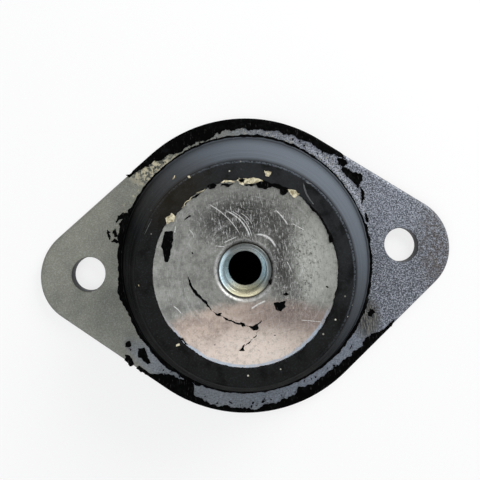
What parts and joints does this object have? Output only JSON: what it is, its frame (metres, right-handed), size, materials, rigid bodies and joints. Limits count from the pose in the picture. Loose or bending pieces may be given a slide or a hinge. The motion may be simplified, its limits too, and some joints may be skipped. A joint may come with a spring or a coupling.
{
  "type": "engine mount",
  "caption": "Rubber-to-metal engine mount: hollow rubber cone on a lozenge flange with a bolt hole in each ear, and a steel disc with a threaded bush on top.",
  "frame": {"origin": "middle of the flange's underside, on the cone's axis", "axes": "+Z from the flange up the cone's axis to the disc; +X through the two bolt holes"},
  "size_m": [0.0996, 0.0696, 0.0272],
  "materials": {
    "flange_steel": "dull pressed steel with a thin grey coat, rubbed",
    "cone_rubber": "moulded natural rubber, matte to satin",
    "disc_steel": "zinc plated, finely scratched",
    "bush_zinc": "bright zinc plated, turned",
    "skin_rubber": "thin torn moulding skin"
  },
  "bodies": {
    "root": {"flange_plate": "flange_steel", "rubber_body": "cone_rubber", "top_disc": "disc_steel", "threaded_bush": "bush_zinc", "edge_skin": "skin_rubber"}
  },
  "joints": []
}
